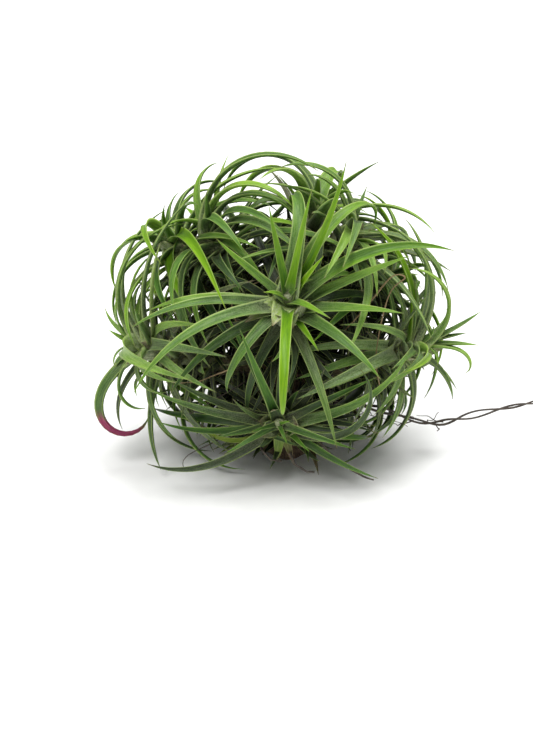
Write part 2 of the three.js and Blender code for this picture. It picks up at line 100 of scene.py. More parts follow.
# Each row of leaves is azimuth, lean, bend, length, swing, then lateness if it isn't 1.5, and width.
# Azimuth is 0 up and grows clockwise, seen from outside looking at the heart. Lean is the angle from
# the rosette's axis at the root, bend is what is added to it by the tip, swing turns the azimuth, and
# a later bend keeps the first part of the leaf straighter. More is how many drawn leaves follow.
ROSETTES = [
  dict(name="rosette_front", base=(0, -5, 38), heart=(0, -31, 73), more=3, leaves=[
    (182, 44, 165, 61, 0, 2.6, 4.9), (20, 18, 205, 62, -60, 1.5, 5.6), (-28, 20, 5, 38, 5, 1.5, 3.4),
    (44, 27, -4, 53, -30, 1.5, 3.6), (44, 26, 170, 66, 20, 1.5, 4.8), (70, 42, 60, 62, 32, 1.5, 5.2),
    (84, 52, 10, 46, 0, 1.5, 4.6), (108, 58, 12, 43, 5, 1.5, 4.4), (134, 60, 50, 44, 5, 1.5, 5.2),
    (-98, 56, 66, 56, -14, 1.5, 4.6), (-114, 54, 92, 66, -20, 1.5, 5.2), (-122, 68, 70, 52, -15, 1.5, 4.6),
    (160, 78, 52, 51, 3, 1.5, 4.2), (62, 28, 5, 25, 0, 1.5, 2.6), (155, 60, 20, 24, 0, 1.5, 2.8),
    (-90, 62, 60, 48, -8), (15, 22, 6, 46, 0, 1.5, 3.4)]),
  dict(name="rosette_low_front", base=(-1, -5, 13), heart=(-3, -37, 28), more=3, leaves=[
    (0, 40, 20, 26, 0), (115, 60, 0, 56, -165), (-20, 32, 10, 54, 0), (-75, 70, 5, 42, 15),
    (-84, 60, 20, 48, 18), (-98, 60, 30, 44, 30), (-104, 50, 20, 24, 0), (-132, 68, 38, 51, 60),
    (88, 62, -20, 62, -60), (104, 60, 10, 26, -10), (122, 62, 20, 40, -20), (130, 50, 10, 16, 0),
    (66, 55, 20, 40, 0)]),
  dict(name="rosette_far_left", base=(-5, 3, 34), heart=(-43, 12, 79), more=11, leaves=[
    (50, 32, 112, 66, 45, 0.4, 4.6), (84, 38, 114, 42, 0, 0.4, 4.8), (0, 50, 100, 42, 0, 1),
    (90, 55, 120, 48, 0, 1), (200, 30, 120, 50, 0, 1), (150, 40, 120, 42, 0, 1)]),
  dict(name="rosette_left", base=(-5, -2, 30), heart=(-55.5, -13, 48), more=4, leaves=[
    (178, 48, 232, 55, 0, 2.1, 6.4), (4, 26, 150, 62, 0, 1), (0, 40, 130, 60, 0, 1), (0, 52, 72, 60, 0, 1),
    (38, 64, 22, 58, 0, 1.2), (15, 8, 12, 11, 0), (180, 33, 160, 20, 0, 3), (180, 38, 155, 33, 0),
    (175, 60, 65, 37, 0), (175, 74, 118, 52, 0, 1), (165, 86, 48, 42, 0), (60, 30, 140, 52, 0, 0.8)]),
  dict(name="rosette_right", base=(5, -2.5, 28), heart=(47, -15, 49), more=5, leaves=[
    (0, 44, 75, 50, 0, 1), (0, 29, 115, 55, 0, 1.2), (0, 12, 150, 41, 0, 1.3), (0, 6, 8, 26, 0),
    (180, 2, 5, 18, 0), (180, 14, 10, 22, 0), (188, 14, 175, 27, 0, 4), (185, 37, 70, 25, 0, 1.2),
    (170, 45, 45, 24, 0), (195, 62, 115, 42, 0, 0.8), (215, 72, 70, 31, 0, 0.8), (275, 100, 30, 32, 0),
    (320, 105, 10, 36, 0)]),
  dict(name="rosette_upper_left", base=(-4, 0, 44), heart=(-28.5, 3, 84), more=8, leaves=[
    (0, 14, 150, 62, 0, 0.9, 5.4), (15, 20, 150, 52, 0, 1, 5.4), (60, 24, 150, 42, 0, 1),
    (-30, 20, 150, 55, 0, 1, 5.2), (20, 30, 120, 45, 0, 1), (50, 35, 120, 52, 0, 0.8, 5.2),
    (110, 50, 120, 45, 0, 1), (130, 60, 90, 35, 0, 1)]),
  dict(name="rosette_top", base=(0, 3.5, 47), heart=(9, 10, 88), more=8, leaves=[
    (30, 4, 180, 54, 0, 0.9, 5.4), (60, 14, 165, 58, 0, 0.9, 5.2), (150, 8, 190, 34, 0, 2, 5.6),
    (180, 30, 120, 45, 0, 1), (240, 40, 110, 50, 0, 1), (300, 55, 110, 40, 0, 1)]),
  dict(name="rosette_upper_right", base=(5, -1.5, 41), heart=(22, 0, 87), more=10, leaves=[
    (180, 60, 45, 40, 0, 1), (165, 35, 90, 48, 0, 1), (215, 40, 110, 46, 0, 1),
    (0, 10, 150, 45, 0, 1), (280, 30, 120, 45, 0, 1)]),
  dict(name="rosette_right_back", base=(5, 3.5, 34), heart=(37, 17, 62), more=16, leaves=[]),
  dict(name="rosette_back_left", base=(-3.5, 4.5, 24), heart=(-27, 32, 55), more=16, leaves=[]),
  dict(name="rosette_back", base=(0, 5, 38), heart=(0, 34, 73), more=15, leaves=[]),
  dict(name="rosette_back_low", base=(-1, 5, 13), heart=(5, 38, 35), more=15, leaves=[]),
  dict(name="rosette_low_left", base=(-5.5, 2, 17), heart=(-36, 17, 29), more=14, leaves=[]),
  dict(name="rosette_low_right", base=(5.5, 2.5, 17), heart=(35, 20, 29), more=14, leaves=[]),
]

SINGLE = dict(strands=1, turns=0, spread=0)      # a root of one strand, with nothing to wind round

# Points that each root passes, from inside the old stem to its tip, and its radius at both ends.
ROOTS = [
  dict(points=[(4, -3, 15), (10, -5, 19), (18.7, -6, 21.5), (33, -5, 18.5), (51, -4, 12.4), (65.5, -3, 14.4),
    (84, -2, 19), (97, -1, 21)], thick=0.85, thin=0.55, strands=2, turns=5, spread=0.75, steps=18),
  dict(points=[(5, -5, 36), (16, -15, 50), (28, -23, 68), (35.5, -26, 78), (38.8, -26, 77.5), (34.2, -27, 73),
    (31.3, -27, 62), (30.2, -27, 48), (31.6, -26, 38), (30.8, -24, 32.5)],
    thick=0.8, thin=0.5, steps=16, **SINGLE),
  dict(points=[(-4, -5, 37), (-7, -17, 45.5), (-16.5, -25, 44.7), (-28, -27, 40.5), (-38, -26, 37.5)],
    thick=0.8, thin=0.45, steps=8, **SINGLE),
  dict(points=[(-5, -4, 41), (-15, -12, 50), (-20, -14, 60), (-17, -12, 66.7), (-11, -11, 69.5),
    (-5, -10, 72)], thick=0.75, thin=0.45, steps=11, **SINGLE),
  dict(points=[(5, -4, 10), (9, -16, 15.5), (11.2, -28, 16.8), (20, -31, 8.5), (31, -31, 3.4)],
    thick=0.85, thin=0.5, steps=11, **SINGLE),
  dict(points=[(-4, -5, 9), (-7, -18, 13), (-9.5, -30, 15.8), (-6, -34, 12.5), (-2, -33, 11.5)],
    thick=0.8, thin=0.5, steps=8, **SINGLE),
  dict(points=[(2, -6, 8), (1, -20, 9), (1.5, -32, 12.5), (5, -35, 9.5), (9.5, -34, 7.4)],
    thick=0.8, thin=0.5, steps=8, **SINGLE),
  dict(points=[(-6, 6, 5), (-14, 13, 6), (-24, 17, 3.6), (-33, 24, 2.4)],
    thick=0.9, thin=0.5, steps=8, **SINGLE),
  dict(points=[(5, 7, 5), (10, 18, 7), (19, 25, 4), (22, 35, 2.6)],
    thick=0.9, thin=0.5, steps=8, **SINGLE),
]

# ---- How the fine blades differ from the solid ones ----

SHARES = np.array([-1, -0.7, -0.35, 0, 0.35, 0.7, 1])     # places across a blade, from edge to edge
FULL = 24, SHARES                          # steps along and places across a leaf that the solids have
PLAIN = 12, np.array([-1, -0.4, 0.4, 1])   # the same for the hundreds of added leaves
OPENING = 60               # degrees that a blade's gutter turns through, either side of its middle
POINT = 0.985              # share of its length at which a blade is closed to a point
LEAST_HALF = 0.12          # half its width there
HALF_THICKNESS = 0.46      # of a blade, in the middle of its root
ROLL = 30                  # most degrees that a blade turns about its midline by its tip
FINE_CLEAR = 1.0           # from a fine blade's middle surface to the next one's

YOUNG = 3                  # short leaves added in each heart
FILLERS = 16               # more leaves of the same spiral, added round each heart
OPEN_HEARTED = ("rosette_front", "rosette_low_front")     # have only a third of the fillers
OLD = 44                   # old leaves added along each rosette's stem, which fill the inside
OLD_SPAN = 0.9, 0.42       # shares of the stem that they grow between, from the heart's side
OLD_LOWER = {"rosette_front": 0.74}        # the rosette on which they begin lower
CORE = dict(count=260, lowest=4, highest=52, lean=(60, 30), bend=(40, 40), length=30, vary=0.3,
            swing=30, width=3.6, reach=BALL_RADIUS * 0.9, draws=777, seeds=70000)
CORE_STEP = 0.618          # share of that height between one old leaf of the middle and the next
BRACTS = dict(count=15, steps=10, first=5, last=9, foot=2.2, swell=2.4, half_arc=68, length=13,
              half_thickness=0.18)         # old dry sheaths that clothe each rosette's stem
MORE_SWELL = {"rosette_front": 4.0}        # the one on which they stand further off, round the heart
SHEATH = dict(silver=1.6, tone=1.3, dry=0.05, tip=0.3, taper=1.8)     # look of a broad silvery sheath
EXTRAS = {                 # leaves laid over the others: azimuth, lean, bend, length, swing, and the look
    "rosette_front": [
        ((205, 40, 62, 13, 0), dict(SHEATH, width=9.5)),
        ((172, 42, 60, 12, 0), dict(SHEATH, width=9.0)),
        ((238, 50, 52, 17, 0), dict(SHEATH, width=8.0, tip=0.55))],
    "rosette_low_front": [
        ((-125, 80, 10, 30, 85), dict(width=2.0, silver=0.0, tone=1.1, dry=0.4, tip=0.15, taper=4.0)),
        ((186, 112, 10, 14, 0), dict(width=4.4, silver=0.3, tone=1.0, dry=0.25, tip=0.4, taper=2.0)),
        ((163, 120, -20, 15, 0), dict(width=3.5, silver=0.0, tone=1.1, dry=0.6, tip=0.6, taper=2.2))]}
ROOT_STEPS, ROOT_SIDES = 60, 8             # along and round a root as it is drawn
ROOT_DRAWS = 99            # seed of their wavering
ROOT_WAVER = 0.2           # mm that each of three waves moves a root off its path
WOUND_SHARE, SINGLE_SHARE = 0.62, 0.38     # of the solids' radius, for the dark roots and the tan ones
ROOTLETS = dict(count=34, off_root=12, steps=28, sides=6, thick=0.24, thin=0.1, draws=606)
SEEDS = dict(drawn=(1000, 77), looks=(3000, 17), young=(5000, 31), fillers=(7000, 53), bracts=(8000, 19),
             old=(11000, 41))              # of a rosette's draws: the first seed, and the step per rosette

# How light, frosted and dry the leaves are. Tone runs along the greens, from dark at 0 to bright at 1.
# A rosette that isn't named has the usual number.
SLIMMER = {"rosette_front": 0.93, "rosette_low_front": 0.72}      # shares of the solids' width
SILVERY = {"rosette_left": 0.14, "rosette_right": 0.14, "rosette_front": 0.03, "rosette_upper_left": 0.05,
           "rosette_upper_right": 0.12, "rosette_top": 0.08}      # how much more frost than the others
BRIGHT = {"rosette_front": {0: 0.74, 2: 0.62, 3: 0.66, 13: 0.74, 14: 0.7, 16: 0.72},
          "rosette_far_left": {0: 0.76, 1: 0.66}, "rosette_low_front": {2: 0.42},
          "rosette_right": {0: 0.7}}       # tones of the listed young leaves, by their row: partly their own bright young green, partly painted light for light shining through them
FIRST_LOOKS = {            # of a rosette's first leaf: one with a magenta hook, and one even strap
    "rosette_left": dict(blush=1.0, tone=0.5, silver=0.1, tip=0.06, roll=math.radians(70), taper=2.8),
    "rosette_front": dict(taper=5.0, roll=0.0)}
FIRST_SLIMMER = {"rosette_front": 0.76}
SHADE_CENTRE = np.array([-2.0, 8.0, 50.0])        # painted shade: the leaves are painted darkest round this place, deep in the clump
SHADE_FULL_WITHIN, SHADE_ENDS_BEYOND = 22, 48              # how far from it the painted shade is full, and where it ends
LOW_SHADE_HEIGHTS = (44, 14)        # heights that painted shade under the clump darkens the leaves from and to
TONE = dict(rise=0.2, edge=0.12, inner=0.7, low=0.22)     # more along a leaf and at its edges, and less where painted shade darkens it inside and low down
FROST = dict(root=0.65, blade=0.1, inner=0.92, low=0.5)   # on the root and the strap, and shares of it lost to painted shade inside and low down
DRY_LOST = 0.7             # share of the dryness that is lost inside, where the painted shade falls
BLUSH_START = (0.56, 0.06)                 # share of the leaf at which its blush sets in, and over how much
BLUSH_END = (0.95, 0.08)                   # the same for its end, where the tip is green again

# ---- The grain of the skins, in mm across a piece and a shorter one along it ----

STREAK_STRETCH = 0.07      # how much shorter the grain is drawn along a blade than across it
BARK_STRETCH = 0.12        # the same along roots and stems
LEAF_SHIFT, ROOT_SHIFT = 9.7, 5.3          # from one piece's grain to the next, so no two look alike
STREAK_SCALE = 2.4         # streaks 0.4 mm wide and 6 mm long
PATCH_SCALE = 0.4          # patches 2.5 mm wide
SCURF_SCALE = 2.2          # scales of 0.45 mm, three times the real ones, so that they show
OLD_BARK_SCALE = 1.6       # fibres 0.6 mm wide
ROOT_BARK_SCALE = 2.2      # some 14 fibres round a root, whatever its thickness
PAPER_SCALE = 90.0         # fibres of 11 mm on the floor, which only keep it from being one flat white

# ---- Camera, as the photograph was taken ----

ELEVATION = 22
DISTANCE = 0.5
LENS = 67.85
SENSOR = 36
AIM = (-7.74, -18.2)       # mm to the right of the clump's middle, and up from it, that the view centres on
CAMERA_TARGET = (0, 0, 52)
FLOOR_HALF = 6.0
LIT = (0, 0, 0.05)         # where the lights look


def unit(v):
    """The vectors at length 1."""
    return v / np.sqrt((v * v).sum(-1, keepdims=True))


def lerp(a, b, t):
    """What lies at share t of the way from a to b."""
    return a + (b - a) * t


def draws_from(seed):
    """Park-Miller draws between -1 and 1, one after another."""
    state = seed
    while True:
        state = state * 16807 % 2147483647
        yield state / 2147483647 * 2 - 1


def draws_for(kind, rosette):
    """A rosette's own draws of one kind."""
    first, step = SEEDS[kind]
    return draws_from(first + step * rosette["owner"])


# ---- The rule that the leaves grow by ----

def frame_of(base, heart):
    """A rosette's own directions: out along its stem, to the right, and up, seen from outside."""
    axis = unit(heart - base)
    right = unit(np.cross([0.0, 0.0, 1.0], axis))
    return axis, right, np.cross(axis, right)


def half_width(width, s):
    """Half a leaf's width at share s of its length: a narrower root, a strap and a fine point."""
    return width / 2 * (1 - s ** 1.9) * (1 - 0.55 * np.exp(-((s / 0.08) ** 2)))


def midline(root, frame, leaf):
    """Stations along a leaf's midline: its direction leans further from the axis by bend times
    share ** late, and turns round the axis by swing times share ** 1.5, summed by trapezoids."""
    axis, right, up = frame
    s = np.arange(STATIONS + 1) / STATIONS
    theta = np.radians(leaf["lean"] + leaf["bend"] * s ** leaf["late"])[:, None]
    phi = np.radians(leaf["azimuth"] + leaf["swing"] * s ** 1.5)[:, None]
    outward = up * np.cos(phi) + right * np.sin(phi)
    along = axis * np.cos(theta) + outward * np.sin(theta)
    side = right * np.cos(phi) - up * np.sin(phi)
    steps = (along[1:] + along[:-1]) * (leaf["length"] / STATIONS / 2)
    point = np.cumsum(np.vstack([root, steps]), axis=0)
    return s, point, along, side, np.cross(side, along)


def spread_points(line, leaf):
    """Points spread over a leaf's middle surface, with how far along the leaf each one is."""
    s, point, _, side, face = line
    turn = abs(leaf["bend"]) + abs(leaf["swing"]) / 2
    kept = slice(None, None, next(step for most, step in SECTION_STEPS if turn < most))
    s, point, side, face = s[kept], point[kept], side[kept], face[kept]
    half = half_width(leaf["width"], s)[:, None, None]
    share = np.array([-1, -0.5, 0, 0.5, 1])[None, :, None]
    rise = np.abs(share) * half * LEAF_CHANNEL
    rows = point[:, None] + side[:, None] * (share * half) + face[:, None] * rise
    part = (np.arange(SPREAD_STEPS) / SPREAD_STEPS)[None, :, None, None]
    spread = rows[:-1, None] + (rows[1:, None] - rows[:-1, None]) * part
    way = (s[:-1, None] + (s[1:] - s[:-1])[:, None] * part[0, :, 0, 0]) * leaf["length"]
    way = np.repeat(way.reshape(-1), share.size)
    return np.append(way, leaf["length"]), np.vstack([spread.reshape(-1, 3), point[-1]])


class Space:
    """Who owns each cell of the space around the old stem."""

    def __init__(self, clearance):
        self.clearance = clearance
        columns = round(2 * GRID_HALF / CELL)
        self.size = np.array([columns, columns, round(GRID_TOP / CELL)])
        self.cells = np.zeros(self.size[::-1], np.int16)

    def places(self, points):
        """Column, row and layer of each point."""
        shifted = points + np.array([GRID_HALF, GRID_HALF, 0])
        return np.floor(shifted / CELL).astype(int)

    def claim(self, points, radii, owner):
        """Gives the free cells whose middles lie within the radius of a point to the owner."""
        reach = math.ceil(np.max(radii) / CELL)
        steps = np.arange(-reach, reach + 1)
        offsets = np.stack(np.meshgrid(steps, steps, steps, indexing="ij"), -1).reshape(-1, 3)
        cells = self.places(points)[:, None] + offsets
        middles = (cells + 0.5) * CELL - np.array([GRID_HALF, GRID_HALF, 0])
        off = middles - points[:, None]
        near = (off * off).sum(-1) <= np.broadcast_to(radii, len(points))[:, None] ** 2
        near &= ((cells >= 0) & (cells < self.size)).all(-1)
        column, row, layer = cells[near].T
        free = self.cells[layer, row, column] == FREE
        self.cells[layer[free], row[free], column[free]] = owner

    def claim_bar(self, start, end, radius_start, radius_end, owner):
        """Claims a round bar between two points."""
        steps = max(1, math.ceil(np.linalg.norm(end - start) / CELL))
        t = np.arange(steps + 1) / steps
        self.claim(start + (end - start) * t[:, None], lerp(radius_start, radius_end, t) + STEM_CLEAR, owner)

    def is_clear(self, way, points, owner, reach):
        """Whether the points are over the floor, within reach, and in no cell to keep out of."""
        if points[:, 2].min() < FLOOR_GAP:
            return False
        off = points - BALL_CENTRE
        if (off * off).sum(-1).max() > reach * reach:
            return False
        cells = self.places(points)
        inside = ((cells >= 0) & (cells < self.size)).all(-1)
        column, row, layer = cells[inside].T
        held = self.cells[layer, row, column]
        return bool(np.all((held == FREE) | ((held == owner) & (way[inside] < FUSED_LENGTH))))


def root_of(heart, frame, leaf):
    """Where a leaf starts: just under the skin of its stem, the lower the more it leans."""
    axis, right, up = frame
    lean = min(max(leaf["lean"], 10), 90)
    out = ROOT_OUT * min(1, lean / 60)
    turn = math.radians(leaf["azimuth"])
    return heart - axis * (HEART_SEAT * lean) + up * (out * math.cos(turn)) + right * (out * math.sin(turn))


def grow_leaf(space, place, plan, seed, also=()):
    """Bends a planned leaf a little more with each try, until it is clear, and claims its place."""
    draw = draws_from(seed)
    for attempt in range(TRIES):
        stray = attempt / TRIES
        leaf = dict(plan)
        leaf["azimuth"] += STRAY["azimuth"] * stray * next(draw)
        leaf["lean"] += STRAY["lean"] * stray * next(draw)
        leaf["bend"] += STRAY["bend"] * stray * next(draw)
        leaf["length"] *= 1 + STRAY["length"] * stray * next(draw)
        leaf["swing"] += STRAY["swing"] * stray * next(draw)
        line = midline(root_of(place["heart"], place["frame"], leaf), place["frame"], leaf)
        way, points = spread_points(line, leaf)
        if space.is_clear(way, points, place["owner"], leaf["reach"]):
            for each in (space, *also):
                each.claim(points, each.clearance, place["owner"])
            leaf.update(line=line, seed=seed)
            return leaf
    return None


def width_for(length):
    """Width of a leaf of this length: the short young ones are narrower."""
    return LEAF_WIDTH * (0.6 + 0.4 * min(1, length / 50))


def hand_plans(rosette):
    """The listed leaves of a rosette. They may reach out of the ball."""
    for azimuth, lean, bend, length, swing, *rest in rosette["leaves"]:
        yield dict(azimuth=azimuth, lean=lean, bend=bend, length=length, swing=swing,
                   late=rest[0] if rest else LATE, width=rest[1] if len(rest) > 1 else width_for(length),
                   reach=STRAY_RADIUS, age=min(1, lean / 75))


def drawn_plans(rosette):
    """The drawn leaves: a golden-angle spiral from the young heart to the old outer leaves."""
    draw = draws_for("drawn", rosette)
    for i in range(rosette["more"]):
        age = (i + 0.5) / rosette["more"]
        length = 30 + 26 * math.sqrt(age) + 8 * next(draw)
        yield dict(azimuth=GOLDEN_ANGLE * i + 40 * rosette["owner"], lean=12 + 72 * age ** 0.8 + 6 * next(draw),
                   bend=106 + 42 * next(draw), length=length, swing=22 * next(draw),
                   late=1.15 + 0.35 * next(draw), width=width_for(length),
                   reach=BALL_RADIUS * (1 + 0.06 * next(draw)), age=age)


# ---- Roots: paths through their points ----

def smooth_path(points, steps):
    """A uniform Catmull-Rom curve through the points, with its end directions carried straight on."""
    points = np.asarray(points, float)
    ends = np.vstack([2 * points[0] - points[1], points, 2 * points[-1] - points[-2]])
    way = np.arange(steps + 1) / steps * (len(points) - 1)
    k = np.minimum(way.astype(int), len(points) - 2)
    t = (way - k)[:, None]
    p0, p1, p2, p3 = ends[k], ends[k + 1], ends[k + 2], ends[k + 3]
    slope1, slope2 = (p2 - p0) / 2, (p3 - p1) / 2
    return (p1 + slope1 * t + (3 * (p2 - p1) - 2 * slope1 - slope2) * t ** 2
            + (2 * (p1 - p2) + slope1 + slope2) * t ** 3)


def cross_directions(path):
    """Two directions across each point of a path, carried along it without turning round it."""
    along = np.empty_like(path)
    along[1:-1] = path[2:] - path[:-2]
    along[0], along[-1] = path[1] - path[0], path[-1] - path[-2]
    along = unit(along)
    across = np.empty_like(path)
    across[0] = unit(np.cross(along[0], [0.0, 0.0, 1.0]))
    for i in range(1, len(path)):
        across[i] = unit(across[i - 1] - along[i] * (across[i - 1] @ along[i]))
    return along, across, np.cross(along, across)


def root_strands(root, steps):
    """A root's strands: one plain path, or two that wind round each other."""
    middle = smooth_path(root["points"], steps)
    _, across, over = cross_directions(middle)
    t = np.arange(steps + 1) / steps
    for strand in range(root["strands"]):
        turn = (2 * math.pi * (root["turns"] * t + strand / root["strands"]))[:, None]
        yield middle + across * (root["spread"] * np.cos(turn)) + over * (root["spread"] * np.sin(turn))


# ---- Growing the clump ----

def claim_wood(space, rosettes):
    """Claims the space of the old stem, the roots and the rosettes' stems."""
    for (radius0, from_), (radius1, to) in zip(MOTHER_OUTLINE, MOTHER_OUTLINE[1:]):
        space.claim_bar(np.array([0.0, 0, from_]), np.array([0.0, 0, to]), radius0, radius1, WOOD)
    for rosette in rosettes:
        base, heart = rosette["base"], rosette["heart"]
        middle = base + (heart - base) * STEM_MIDDLE
        foot_radius, middle_radius, heart_radius = STEM_RADII
        space.claim_bar(base, middle, foot_radius, middle_radius, rosette["owner"])
        space.claim_bar(middle, heart, middle_radius, heart_radius, rosette["owner"])
    for root in ROOTS:
        for path in root_strands(root, root["steps"]):
            radii = lerp(root["thick"], root["thin"], np.arange(len(path)) / (len(path) - 1))
            for i in range(len(path) - 1):
                space.claim_bar(path[i], path[i + 1], radii[i], radii[i + 1], WOOD)


def stem_leaves(kind, shares, space, also=()):
    """Leaves of one kind that grow out of the old stem all round, on the same rule as the living
    ones, each at its share of the way from the kind's lowest place on the stem to its highest."""
    draw = draws_from(kind["draws"])
    frame = np.array([0.0, 0, 1]), np.array([1.0, 0, 0]), np.array([0.0, 1, 0])
    (lean, lean_spread), (bend, bend_spread) = kind["lean"], kind["bend"]
    grown = []
    for i, share in enumerate(shares):
        height = lerp(kind["lowest"], kind["highest"], share)
        place = dict(owner=WOOD, heart=np.array([0, 0, height]), frame=frame)
        plan = dict(azimuth=GOLDEN_ANGLE * i, lean=lean + lean_spread * next(draw),
                    bend=bend + bend_spread * next(draw),
                    length=kind["length"] * (1 + kind["vary"] * next(draw)), swing=kind["swing"] * next(draw),
                    late=1.3, width=kind["width"], reach=kind["reach"], age=1)
        grown.append(grow_leaf(space, place, plan, kind["seeds"] + i, also))
    return [leaf for leaf in grown if leaf]


def extra_leaves(rosette):
    """The listed leaves laid over a rosette, and their looks."""
    leaves, looks = [], []
    for (azimuth, lean, bend, length, swing), look in EXTRAS.get(rosette["name"], ()):
        leaf = dict(azimuth=azimuth, lean=lean, bend=bend, length=length, swing=swing, late=1.2)
        root = root_of(rosette["heart"], rosette["frame"], leaf)
        leaves.append(dict(leaf, line=midline(root, rosette["frame"], leaf)))
        looks.append(dict(look, length=length, roll=0.0, blush=0.0))
    return leaves, looks


def young_plans(rosette):
    """Short leaves that stand close round the axis in each heart."""
    draw = draws_for("young", rosette)
    for i in range(YOUNG):
        length = 9 + 4 * i + 3 * next(draw)
        yield dict(azimuth=GOLDEN_ANGLE * i + 90 * next(draw), lean=9 + 7 * i + 4 * next(draw),
                   bend=75 + 40 * next(draw), length=length, swing=15 * next(draw), late=1.6,
                   width=2.0 + 0.25 * i, reach=BALL_RADIUS * 1.02, age=0.1)


def filler_plans(rosette):
    """More leaves of the same spiral, which fill the inside of the clump."""
    draw = draws_for("fillers", rosette)
    count = FILLERS // 3 if rosette["name"] in OPEN_HEARTED else FILLERS
    for i in range(count):
        age = (i + 0.5) / count
        length = 26 + 22 * math.sqrt(age) + 9 * next(draw)
        yield dict(azimuth=GOLDEN_ANGLE * i + 73 * rosette["owner"], lean=18 + 84 * age + 10 * next(draw),
                   bend=80 + 60 * next(draw), length=length, swing=30 * next(draw),
                   late=1.2 + 0.4 * next(draw), width=width_for(length) * 0.92,
                   reach=BALL_RADIUS * (0.97 + 0.05 * next(draw)), age=age)


def old_plans(rosette):
    """Old leaves with their roots spread down the rosette's stem, from its heart to its lower half."""
    draw = draws_for("old", rosette)
    first, last = OLD_LOWER.get(rosette["name"], OLD_SPAN[0]), OLD_SPAN[1]
    for i in range(OLD):
        t = (i + 0.5) / OLD
        length = 26 + 10 * next(draw)
        yield dict(azimuth=GOLDEN_ANGLE * i + 21 * rosette["owner"], lean=62 + 22 * next(draw),
                   bend=35 + 50 * next(draw), length=length, swing=40 * next(draw),
                   late=1.2 + 0.4 * next(draw), width=width_for(length) * 0.95,
                   reach=BALL_RADIUS * 0.94, age=1 + t, down=lerp(first, last, t))


def grow_clump():
    """All the leaves: first those that the solids have, in their order, and then the added ones."""
    solid, fine = Space(LEAF_CLEAR), Space(FINE_CLEAR)
    rosettes = []
    for index, row in enumerate(ROSETTES):
        base, heart = np.array(row["base"], float), np.array(row["heart"], float)
        rosettes.append(dict(row, base=base, heart=heart, frame=frame_of(base, heart), owner=WOOD + 1 + index))
    for space in (solid, fine):
        claim_wood(space, rosettes)
    count = DEAD_LEAVES["count"]
    dead = stem_leaves(DEAD_LEAVES, [i / count for i in range(count)], solid, [fine])
    for rosette in rosettes:
        plans = [*hand_plans(rosette), *drawn_plans(rosette)]
        grown = [grow_leaf(solid, rosette, plan, 100 * rosette["owner"] + i + 1, [fine])
                 for i, plan in enumerate(plans)]
        rosette["grown"] = [leaf for leaf in grown if leaf]
    for rosette in rosettes:
        plans = [*young_plans(rosette), *filler_plans(rosette), *old_plans(rosette)]
        grown = []
        for i, plan in enumerate(plans):
            share = plan.get("down", 1)
            place = dict(rosette, heart=lerp(rosette["base"], rosette["heart"], share))
            grown.append(grow_leaf(fine, place, plan, 50000 + 100 * rosette["owner"] + i))
        rosette["added"] = [leaf for leaf in grown if leaf]
    return rosettes, dead, stem_leaves(CORE, [CORE_STEP * i % 1 for i in range(CORE["count"])], fine)


# ---- Meshes ----

def piece_of(name, points, quads, fields, material, slot, replaced=()):
    """Puts points (mm), four-cornered faces and per-point fields into a smooth mesh that rides on
    the plant. Fields of three numbers become vector attributes and single ones plain attributes."""
    mesh = bpy.data.meshes.new(name)
    quads = np.asarray(quads, np.int32)
    mesh.vertices.add(len(points))
    mesh.vertices.foreach_set("co", (np.asarray(points) * MM).astype(np.float32).reshape(-1))
    triangle = quads[:, 2] == quads[:, 3]
    sizes = np.where(triangle, 3, 4)
    starts = np.concatenate([[0], np.cumsum(sizes)[:-1]])
    keep = np.ones(quads.shape, bool)
    keep[triangle, 3] = False
    mesh.loops.add(int(sizes.sum()))
    mesh.loops.foreach_set("vertex_index", quads[keep])
    mesh.polygons.add(len(quads))
    mesh.polygons.foreach_set("loop_start", starts.astype(np.int32))
    mesh.polygons.foreach_set("use_smooth", np.ones(len(quads), bool))
    for field, values in fields.items():
        values = np.asarray(values, np.float32)
        kind, key = ("FLOAT_VECTOR", "vector") if values.ndim == 2 else ("FLOAT", "value")
        mesh.attributes.new(field, kind, "POINT").data.foreach_set(key, values.reshape(-1))
    mesh.update(calc_edges=True)
    mesh.validate()
    mesh.materials.append(material)
    piece = bpy.data.objects.new(name, mesh)
    bpy.context.scene.collection.objects.link(piece)
    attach(piece, "root")
    if replaced:
        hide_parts(*replaced)


def tube_grid(rings):
    """Faces of closed tubes whose points are stored as (tube, ring, place in ring), followed by one
    point per tube at its start and one at its end: quads between rings and fans at both ends."""
    tubes, count, sides = rings
    tube = np.arange(tubes)[:, None, None] * (count * sides + 2)
    ring = np.arange(count - 1)[None, :, None] * sides
    here = np.arange(sides)[None, None, :]
    after = (here + 1) % sides
    walls = np.stack([tube + ring + here, tube + ring + after, tube + ring + sides + after,
                      tube + ring + sides + here], -1).reshape(-1, 4)
    tube, here, after = tube[:, 0], here[0], after[0]
    start = tube + count * sides
    foot = np.stack([start + 0 * here, tube + after, tube + here, tube + here], -1).reshape(-1, 4)
    last = tube + (count - 1) * sides
    tip = np.stack([start + 1 + 0 * here, last + here, last + after, last + after], -1).reshape(-1, 4)
    return np.vstack([walls, foot, tip])


